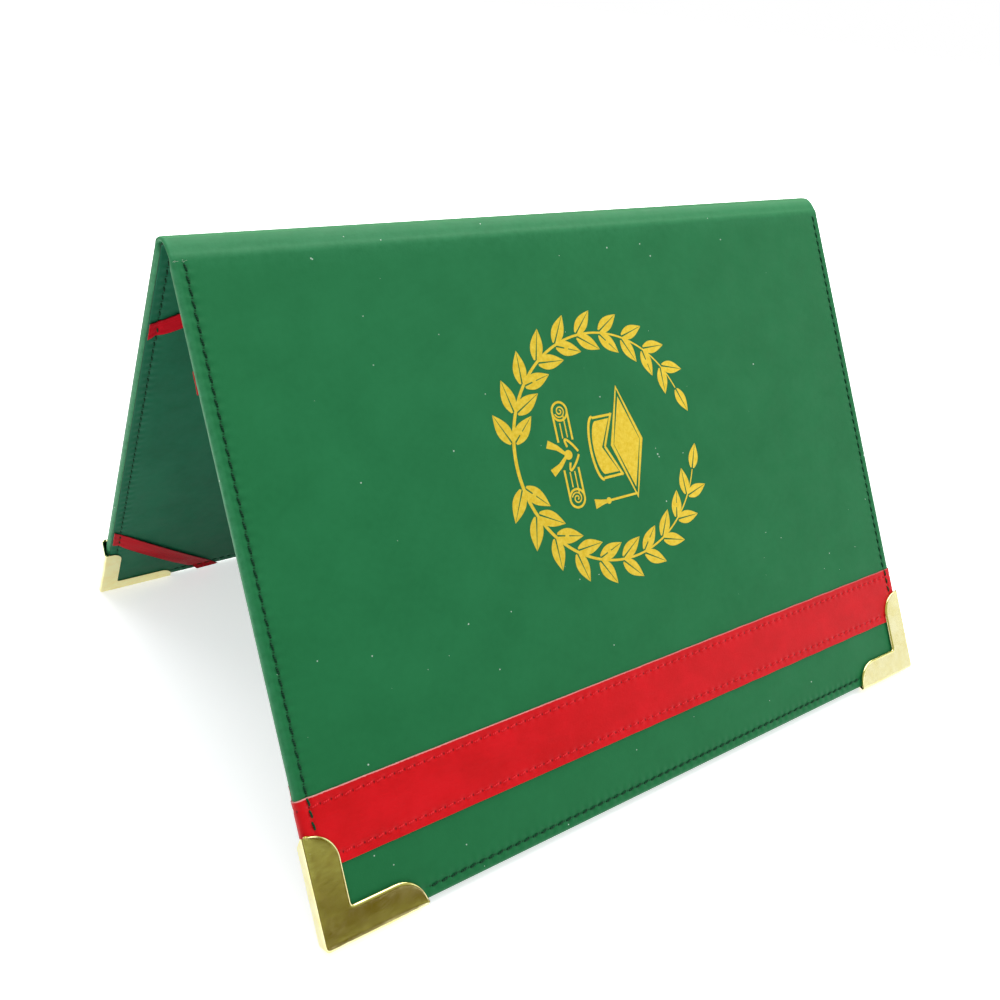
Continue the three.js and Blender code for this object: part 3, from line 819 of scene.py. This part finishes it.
def fore_seam(cover):
    outside = BRASS_SIDE - OUTER_ARM["length"] + 0.5
    inside = BRASS_SIDE - INNER_ARM["length"] + 0.5
    runs = [(cover.world([x, FORE_SEAM, ON_SKIN]), cover.x, cover.out, THREAD_OUTSIDE)
            for x in stitch_places(-outside, outside)]
    runs += [(cover.world([x, FORE_SEAM, lift_inside(abs(x), RIBBON_AT_FORE)]),
              cover.x, -cover.out, THREAD_INSIDE) for x in stitch_places(-inside, inside)]
    sew(cover, cover.prefix + "_fore_seam", runs, GREEN_THREAD, "green_thread")


def stripe_seam(cover, node, row, end):
    runs = [(cover.world([x, row, RED_ON_STRIPE]), cover.x, cover.out, THREAD_RED)
            for x in stitch_places(-end, end)]
    sew(cover, node, runs, RED_THREAD, "red_thread")


def loose_ends(cover):
    """Fluff of the sewing thread where the left seam of a cover stops at the fold."""
    tubes = Tubes(sides=5)
    for x, v in [(-151.2, -3.2)] * 3 + [(-154.4, -3.0)] * 2:
        base, n_out = cover.profile(v)
        start = base + cover.x * (x + rng.normal(0, 0.25)) + n_out * 0.05
        way = unit(cover.x * rng.normal(0, 1) + cover.up * rng.normal(0.2, 0.8) + n_out * 0.35)
        side = unit(np.cross(way, n_out))
        length = rng.uniform(0.6, 1.3)
        rings = []
        for t in np.linspace(0, 1, 7):
            curl = side * 0.5 * length * t * t * rng.uniform(0.6, 1.0)
            centre = start + way * length * t + curl + n_out * 0.25 * math.sin(math.pi * t)
            radius = 0.08 * (1 - 0.6 * t)
            rings.append((centre, radius, radius, t))
        tubes.add(side, np.cross(side, way), rings)
    made(tubes.mesh("front_left_thread_ends", FLUFF), cover, "green_thread")


# Ribbons


def clipped(line, inside, count):
    """Points at equal steps along the stretch of a dense line for which inside holds."""
    kept = np.array([p for p in line if inside(p)])
    s = length_along(kept)
    at = np.linspace(0, s[-1], count)
    return np.stack([np.interp(at, s, kept[:, k]) for k in range(2)], -1)


def ribbon_middle(kind):
    """A dense line along a right ribbon: straight over the fore corner, or bent by the fold."""
    t = np.linspace(0, 1, 900)[:, None]
    if kind == "fore":
        past = 14.0
        slope = RIBBON_SIDE_REACH / RIBBON_FORE_REACH
        a = np.array([HALF_WIDTH + past, -DEPTH + RIBBON_SIDE_REACH + past * slope])
        b = np.array([HALF_WIDTH - RIBBON_FORE_REACH - past / slope, -DEPTH - past])
        return a + (b - a) * t
    a = np.array([HALF_WIDTH + 9.0, -RIBBON_FOLD_REACH])
    b = np.array([HALF_WIDTH - 26.0, -RIBBON_FOLD_REACH])
    c = np.array([HALF_WIDTH - 44.75, 9.0])
    return (1 - t) ** 2 * a + 2 * (1 - t) * t * b + t ** 2 * c


def ribbon(cover, side, kind):
    steps, across = 150, 11
    middle = ribbon_middle(kind)
    way = unit(np.gradient(middle, axis=0))
    normal = stacked(-way[:, 1], way[:, 0])
    reach = HALF_WIDTH - LINING_INSET

    def inside(p):
        return p[0] <= reach and -DEPTH + LINING_INSET <= p[1] <= SEAM_END_OUTSIDE

    offsets = np.linspace(-RIBBON_WIDTH / 2, RIBBON_WIDTH / 2, across)
    flat = np.stack([clipped(middle + normal * w, inside, steps) for w in offsets], 1)
    centre = flat[:, across // 2]
    # The seam beside the edge pinches the ribbon: narrower there, and pressed on the lining
    from_edge = np.minimum(HALF_WIDTH - flat[..., 0], flat[..., 1] + DEPTH)
    pinch = hill(from_edge, SEAM_INSET, 2.2)
    flat = centre[:, None] + (flat - centre[:, None]) * (1 - 0.10 * pinch)[..., None]
    s = np.linspace(0, 1, steps)[:, None]
    w = offsets[None, :] / (RIBBON_WIDTH / 2)
    free = np.clip((from_edge - SEAM_INSET) / 9.0, 0, 1)
    lift = free * (0.32 * np.sin(np.pi * s) + 0.18) + 0.10 * free * (w ** 2)
    # Past the seam its end stands out a little, the front's left one at the fold the most
    past = np.clip((SEAM_INSET - from_edge) / (SEAM_INSET - LINING_INSET), 0, 1)
    flare = 1.1 if (cover.prefix, side, kind) == ("front", -1, "fold") else 0.5
    lift = lift + flare * past ** 1.5 * (1 + 0.25 * w)
    lift = lift + 0.30 * (1 - hill(from_edge, SEAM_INSET, 0.9))
    lift = lift + pinch * 0.10 * np.cos(2.6 * np.pi * w) + 0.06 * free * np.sin(9 * s + 3 * w)
    z_face = -(LINING_FACE + 0.30 + lift)
    face, under = (cover.world(stacked(flat[..., 0] * side, flat[..., 1], z))
                   for z in (z_face, z_face + 0.22))
    uv = stacked(s * length_along(centre)[-1], offsets[None, :])
    name = f"{side_name(cover, side)}_{kind}_ribbon"
    obj = sheet(name + "_satin", face, under, uv, [SATIN], -cover.out)
    made(obj, cover, "satin_ribbon", name)


# Brass corners


def arm_paths(length, width, tip, fillet):
    """Matching points on the outer and the inner edge of one L, and the way inward."""
    tip_width = 1.75
    half = []
    for g in np.radians(np.linspace(0, 90, 13)):
        a = length - tip + tip * math.cos(g)
        b = width - tip + tip * math.sin(g)
        half.append(((a, 0.0), (a, max(b, tip_width)), (0.0, 1.0)))
    for a in np.linspace(length - tip, width + fillet, 8)[1:]:
        half.append(((a, 0.0), (a, width), (0.0, 1.0)))
    # Round the corner: the outer edge has its own radius, the inner edge a small fillet
    r, start = BRASS_CORNER_RADIUS, width + fillet
    corner = [((start - (start - r) * k / 5, 0.0), (0.0, 1.0)) for k in range(1, 6)]
    for g in np.radians([15, 30, 45]):
        s, c = math.sin(g), math.cos(g)
        corner.append(((r - r * s, r - r * c), (s, c)))
    for k, (point, way) in enumerate(corner, 1):
        g = math.radians(45.0 * k / len(corner))
        inner = (start - fillet * math.sin(g), start - fillet * math.cos(g))
        half.append((point, inner, way))
    half = np.array(half)
    whole = np.concatenate([half, half[-2::-1, :, ::-1]])
    return whole[:, 0], whole[:, 1], whole[:, 2]


def brass_section(outer_o, outer_i, inner_o, inner_i, inward):
    """Rows of the plate from the rim of its outer face to the rim of its inner face."""
    bend, lip, crease, dish, curl = 0.85, 0.85, 0.08, 0.10, 0.16
    bottom = LINING_FACE + LAYER_GAP + BRASS_THICKNESS
    quarter = np.radians(np.linspace(0, 90, 6))
    face_end = outer_o + inward * bend
    across = unit(face_end - outer_i)
    lip_end = outer_i + across * lip
    # The inner rim is rolled down to the leatherette, and the face is dished a little
    rows = [(outer_i + across * lip * (1 - math.sin(g)), BRASS_PROUD - lip * (1 - math.cos(g)))
            for g in quarter[:0:-1]]
    for t in [0.0, 0.06, 0.14, 0.3, 0.5, 0.7, 0.84, 0.90, 0.93, 0.965, 1.0]:
        fall = crease * max(0.0, (t - 0.90) / 0.10)
        rows.append((lip_end + (face_end - lip_end) * t,
                     BRASS_PROUD - dish * math.sin(math.pi * t) ** 0.7 - fall))
    for g in quarter[1:]:
        rows.append((outer_o + inward * bend * (1 - math.sin(g)),
                     BRASS_PROUD - bend + (bend - crease) * math.cos(g)))
    top_wall, low_wall = BRASS_PROUD - bend, bend - bottom
    for t in [0.33, 0.67, 1.0]:
        rows.append((outer_o + (inner_o - outer_o) * t, top_wall + (low_wall - top_wall) * t))
    for g in quarter[1:]:
        rows.append((inner_o + inward * bend * (1 - math.cos(g)), low_wall - bend * math.sin(g)))
    inner_face = inner_o + inward * bend
    for t in [0.15, 0.35, 0.6, 0.8, 0.93, 1.0]:
        rows.append((inner_face + (inner_i - inner_face) * t,
                     curl * math.exp(-((1 - t) / 0.07) ** 2) - bottom))
    plan, heights = zip(*rows)
    return np.array(plan), np.array(heights)[:, None]


def brass_corner(cover, side):
    outer_o, outer_i, inward = arm_paths(**OUTER_ARM, tip=10.2, fillet=1.0)
    inner_o, inner_i, _ = arm_paths(**INNER_ARM, tip=5.6, fillet=1.2)
    plan, z = brass_section(outer_o, outer_i, inner_o, inner_i, inward)
    face = cover.world(stacked(side * (BRASS_SIDE - plan[..., 0]), BRASS_FORE + plan[..., 1], z))
    on_face = (9, 16)
    face_end, beside_corner = 15, 20
    normal = unit(np.cross(np.gradient(face, axis=0), np.gradient(face, axis=1)))
    if normal[on_face] @ cover.out < 0:
        normal = -normal
    uv = stacked(length_along(plan[face_end])[None, :],
                 length_along(face[:, beside_corner])[:, None])
    name = side_name(cover, side) + "_corner"
    obj = sheet(name + "_brass", face, face - normal * BRASS_THICKNESS, uv, [BRASS],
                normal[on_face], at=on_face)
    bevel = obj.modifiers.new("rim", "BEVEL")
    bevel.width = 0.13 * MM
    bevel.segments = 2
    bevel.limit_method = "ANGLE"
    bevel.angle_limit = math.radians(50)
    made(obj, cover, "brass", name)


# Gold foil


def foil(cover, name, shapes, *nodes):
    """Flat shapes, drawn upright in millimetres, as thin plates on the grain of the cover."""
    top, layer_step, below = 0.035, 0.00004, -0.05
    points, faces, uvs = [], [], []
    for k, shape in enumerate(shapes):
        shape = np.asarray(shape, float)
        turned = stacked(shape[:, 1], -DEPTH + FOIL_HEIGHT - shape[:, 0])
        following = np.roll(turned, -1, axis=0)
        if np.sum(turned[:, 0] * following[:, 1] - following[:, 0] * turned[:, 1]) < 0:
            turned = turned[::-1]
        count = len(turned)
        base = len(points)
        for z in (top + layer_step * k, below):
            for x, y in turned:
                points.append(cover.world([x, y, z]))
                uvs.append((x, y))
        faces.append(range(base, base + count))
        faces.append(range(base + 2 * count - 1, base + count - 1, -1))
        for i in range(count):
            j = (i + 1) % count
            faces.append((base + i, base + count + i, base + count + j, base + j))
    obj = new_mesh(name, points, faces, uvs, [FOIL], smooth=False)
    made(obj, cover, "gold_foil", *nodes)


def arc(cx, cy, r, start, end, steps):
    g = np.radians(np.linspace(start, end, steps + 1))
    return stacked(cx + r * np.cos(g), cy + r * np.sin(g))


def disc(cx, cy, r, steps):
    return arc(cx, cy, r, 0, 360, steps)[:-1]


def band(line, width):
    """A stroke of the given width along a line of points; width may vary along it."""
    line = np.asarray(line, float)
    way = unit(np.gradient(line, axis=0))
    side = stacked(-way[:, 1], way[:, 0]) * (np.asarray(width) / 2).reshape(-1, 1)
    return np.concatenate([line + side, (line - side)[::-1]])


def rotated(points, degrees, x, y):
    g = math.radians(degrees)
    turn = np.array([[math.cos(g), math.sin(g)], [-math.sin(g), math.cos(g)]])
    return points @ turn + [x, y]


def leaf_halves(length, width):
    """One laurel leaf as two halves with an open midrib between them."""
    t = np.linspace(0, 1, 13)
    bulge = width * np.sin(np.pi * t ** 0.85) * 0.5
    rib = np.minimum(0.32 * (1 - t) + 0.05, bulge + 0.02)
    half = np.concatenate([stacked(length * t, bulge), stacked(length * t, rib)[::-1]])[1:-1]
    return [half, half * [1, -1]]


def wreath_shapes():
    """Two laurel stems that meet at the bottom, each with pairs of leaves, and berries."""
    radius, gap, pairs = 45.0, 44, 11
    leaf_length, leaf_width = 14.2, 6.2
    first_leaf = 10
    sweep = 180 - gap / 2
    shapes = []
    for side in (-1, 1):
        stem = arc(0, 0, radius, -90 - side * 4, -90 + side * (sweep - 0.6), 60)
        shapes.append(band(stem, np.linspace(1.5, 0.5, len(stem))))
        for i in range(pairs):
            angle = -90 + side * (first_leaf + (sweep - first_leaf - 1) * i / (pairs - 1))
            x, y = arc(0, 0, radius, angle, angle, 0)[0]
            size = 1.0 - 0.018 * i
            last = i == pairs - 1
            for splay in [0] if last else [38, -38]:
                for half in leaf_halves(leaf_length * size, leaf_width * size):
                    shapes.append(rotated(half, angle + side * 90 + splay, x, y))
            if i % 2 == 0 and not last:
                g = math.radians(angle + side * 6.5)
                for r in (radius + 3.2, radius - 3.2):
                    shapes.append(disc(r * math.cos(g), r * math.sin(g), 0.95, 12))
    return shapes


CAP_WIDTH = 46.0
CAP_HEIGHT = 17.0
CAP_MIDDLE = CAP_HEIGHT / 2 + 1.2


def cap_shapes():
    """The cap's square board seen from the front and a little above, and its tassel."""
    w, h, y = CAP_WIDTH / 2, CAP_HEIGHT / 2, CAP_MIDDLE
    outline = np.array([(0, y + h), (-w, y), (0, y - h), (w, y)])
    inner = outline + unit([0, y] - outline) * 1.5
    following = [1, 2, 3, 0]
    shapes = list(np.stack([outline, outline[following], inner[following], inner], 1))
    x = w - 2
    shapes += [(outline - [0, y]) * 0.80 + [0, y],
               band([(x, y), (x, y - 8), (x, y - 15)], 0.9), disc(x, y - 15.2, 1.3, 14)]
    for k in range(5):
        lean = (k - 2) * 0.42
        shapes.append(band([(x + lean * 0.5, y - 16.2), (x + lean, y - 19),
                            (x + lean * 1.9, y - 22.2)], [0.5, 0.62, 0.7]))
    return shapes


def cap_band_shapes():
    """The part of the cap that goes round the head: an outline and a filled field in it."""
    half, height = 12.5, 10.0
    top = half * CAP_HEIGHT / CAP_WIDTH
    low = top - height
    dip = arc(0, 0, half, 180, 360, 16) * [1, 0.3] + [0, low]
    edges = [band([(x, top), (x, low)], 1.0) for x in (0.5 - half, half - 0.5)]
    edges += [band([(-half, top - 0.2), (0, -1.9)], 1.0), band([(0, -1.9), (half, top - 0.2)], 1.0)]
    inner_top = [(-half + 1.8, top - 1.9), (0, -3.4), (half - 1.8, top - 1.9)]
    inner_low = [(x * 0.86, y + 1.5) for x, y in dip[-2:0:-1]]
    return [band(dip, 1.1), *edges, np.array(inner_top + inner_low)]


def scroll_shapes():
    """A rolled sheet with a spiral at each end, tied with a bow in its middle."""
    half, r, y = 21.0, 4.0, -20.4
    shapes = []
    for sign in (-1, 1):
        roll = half - r
        for start, end, rise, width in ((5.4, roll, r - 0.5, 0.9), (5.4, roll, 0.5 - r, 0.9),
                                        (6.6, roll - 1.5, 1.3, 0.55),
                                        (6.6, roll - 4.5, -1.0, 0.55)):
            shapes.append(band([(sign * start, y + rise), (sign * end, y + rise)], width))
        ends = arc(sign * roll, y, r - 0.45, 0, 360, 28)
        shapes += [band(ends[:15], 0.9), band(ends[14:], 0.9)]
        g = np.linspace(0, 3.4 * math.pi, 40)
        out = 0.35 + 0.20 * g
        shapes.append(band(stacked(sign * (roll + out * np.cos(g)), y + out * np.sin(g)), 0.55))
        t = np.linspace(0.15, 1, 22)
        loop = stacked(sign * (0.6 + 5.4 * np.sin(np.pi * t)),
                       y + 0.2 - 5.94 * (t - 0.15) * np.cos(0.9 * np.pi * t))
        tail = [(sign * 0.6, y - 1.4), (sign * 3.4, y - 4.6), (sign * 5.6, y - 9.0)]
        shapes += [band(loop, 0.95), band(tail, [1.2, 2.0, 3.2])]
    return shapes + [disc(0, y, 1.9, 18)]


# Everything on the covers

make_skin(front, "front_cover_skin", "spine_skin")
make_skin(back, "back_cover_skin")
make_lining(front, "front_lining", "spine_lining")
make_lining(back, "back_lining")
make_stripe(front)

for cover in (front, back):
    fore_seam(cover)
    for side in (-1, 1):
        side_seam(cover, side, striped=cover is front)
        brass_corner(cover, side)
        ribbon(cover, side, "fore")
        ribbon(cover, side, "fold")
    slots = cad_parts[cover.prefix + "_board"].data.materials
    slots.clear()
    slots.append(BOARD)

stripe_seam(front, "stripe_lower_seam", STRIPE_ROWS[0], BRASS_SIDE - OUTER_ARM["width"] - 0.5)
stripe_seam(front, "stripe_upper_seam", STRIPE_ROWS[1], HALF_WIDTH - 0.6)

foil(front, "foil_laurel", wreath_shapes(), "foil_wreath")
foil(front, "foil_cap_board", cap_shapes(), "foil_cap")
foil(front, "foil_cap_side", cap_band_shapes(), "foil_cap_band")
foil(front, "foil_tied_scroll", scroll_shapes(), "foil_scroll")
loose_ends(front)


# Floor, lights and camera, in metres

WHITE = (1.0, 1.0, 1.0, 1.0)
FLOOR_REACH = 6.0


def floor_material():
    """Overexposed to the camera, as on a light table. In reflections it is painted: a painted white
    glow near the cover, and a painted dark, warm reflection further away.
    """
    n = Surface("pale_floor")
    at = n.place()
    away = n.node("ShaderNodeVectorMath", {0: at}, operation="LENGTH").outputs["Value"]
    near = n.spread(away, 1.0, 0.5)
    rays = n.node("ShaderNodeLightPath").outputs
    camera_glow = n.times(rays["Is Camera Ray"], n.spread(near, 1.0, 0.0, 0.58, 1.2))
    # Painted reflection: near the cover the floor glows to glossy rays only, so metal shows a
    # bright floor
    painted_reflection_glow = n.times(rays["Is Glossy Ray"], n.times(near, 0.6))
    # Painted reflection: further away the floor turns dark and warm to glossy rays only
    painted_far_reflection = n.times(rays["Is Glossy Ray"], n.spread(away, 0.35, 0.9))
    pale = n.mix(n.spread(n.noise(at, 3.0, 3.0), 0.3, 0.7), (0.86, 0.865, 0.87, 1),
                 (0.89, 0.89, 0.89, 1))
    return n.finish(Base_Color=n.mix(painted_far_reflection, pale, (0.20, 0.15, 0.035, 1)), Roughness=0.8,
                    Specular_IOR_Level=0.0, Emission_Color=WHITE,
                    Emission_Strength=n.plus(camera_glow, painted_reflection_glow))


floor_mesh = bpy.data.meshes.new("floor")
floor_mesh.from_pydata([(x * FLOOR_REACH, y * FLOOR_REACH, 0)
                        for x, y in ((-1, -1), (1, -1), (1, 1), (-1, 1))], [], [(0, 1, 2, 3)])
floor_mesh.materials.append(floor_material())
floor = linked("floor", floor_mesh)


def studio_world():
    """White to the camera, a pale room as light, and darker and warmer low down in metal."""
    world = bpy.data.worlds.new("studio")
    world.use_nodes = True
    n = Nodes(world.node_tree)

    def background(colour, strength):
        return n.node("ShaderNodeBackground", {0: colour, 1: strength}).outputs[0]

    def choice(factor, a, b):
        return n.node("ShaderNodeMixShader", {0: factor, 1: a, 2: b}).outputs[0]

    looking = n.node("ShaderNodeTexCoord").outputs["Generated"]
    height = n.node("ShaderNodeSeparateXYZ", {0: looking}).outputs[2]
    warm = n.mix(n.spread(height, 0.12, 0.25), (0.155, 0.118, 0.014, 1), (0.56, 0.59, 0.26, 1))
    rays = n.node("ShaderNodeLightPath").outputs
    seen = choice(rays["Is Glossy Ray"], background((0.95, 0.98, 1.0, 1), 0.55),
                  background(warm, 1.0))
    seen = choice(rays["Is Camera Ray"], seen, background(WHITE, 1.0))
    n.node("ShaderNodeOutputWorld", {0: seen})
    return world


bpy.context.scene.world = studio_world()


def placed(obj, x, y, z, at):
    """Puts obj at a point, with its own axes along x, y and z."""
    m = np.eye(4)
    m[:3, 0], m[:3, 1], m[:3, 2], m[:3, 3] = x, y, z, at
    obj.matrix_world = Matrix(m.tolist())
    return obj


def softbox(name, at, target, size, power, colour):
    light = bpy.data.lights.new(name, "AREA")
    light.shape = "RECTANGLE"
    light.size, light.size_y = size
    light.energy = power
    light.color = colour
    z = unit(np.subtract(at, target))
    x = unit(np.cross([0, 0, 1], z))
    placed(linked(name, light), x, np.cross(z, x), z, at)


softbox("overhead", at=(0.5, 0.6, 2.1), target=(0, 0, 0), size=(2.6, 2.6), power=76,
        colour=(1, 1, 1))
softbox("right_front", at=(2.25, -1.3, 0.65), target=(0, 0, 0.1), size=(1.9, 1.8), power=13.6,
        colour=(0.80, 0.845, 1.0))

# The camera was solved from the edges of the front cover in the photograph
CAMERA_PLACE = (-0.2602, -0.3118, 0.2845)
CAMERA_RIGHT = (0.8105, -0.5772, 0.0993)
CAMERA_DOWN = (-0.2012, -0.4336, -0.8784)

lens = bpy.data.cameras.new("camera")
lens.lens = 36.76
lens.sensor_width = 36.0
lens.clip_start = 0.01
right = unit(CAMERA_RIGHT)
forward = unit(np.cross(right, CAMERA_DOWN))
camera = placed(linked("camera", lens), right, -unit(np.cross(forward, right)), -forward,
                CAMERA_PLACE)
bpy.context.scene.camera = camera
bpy.context.scene.view_settings.view_transform = "Standard"
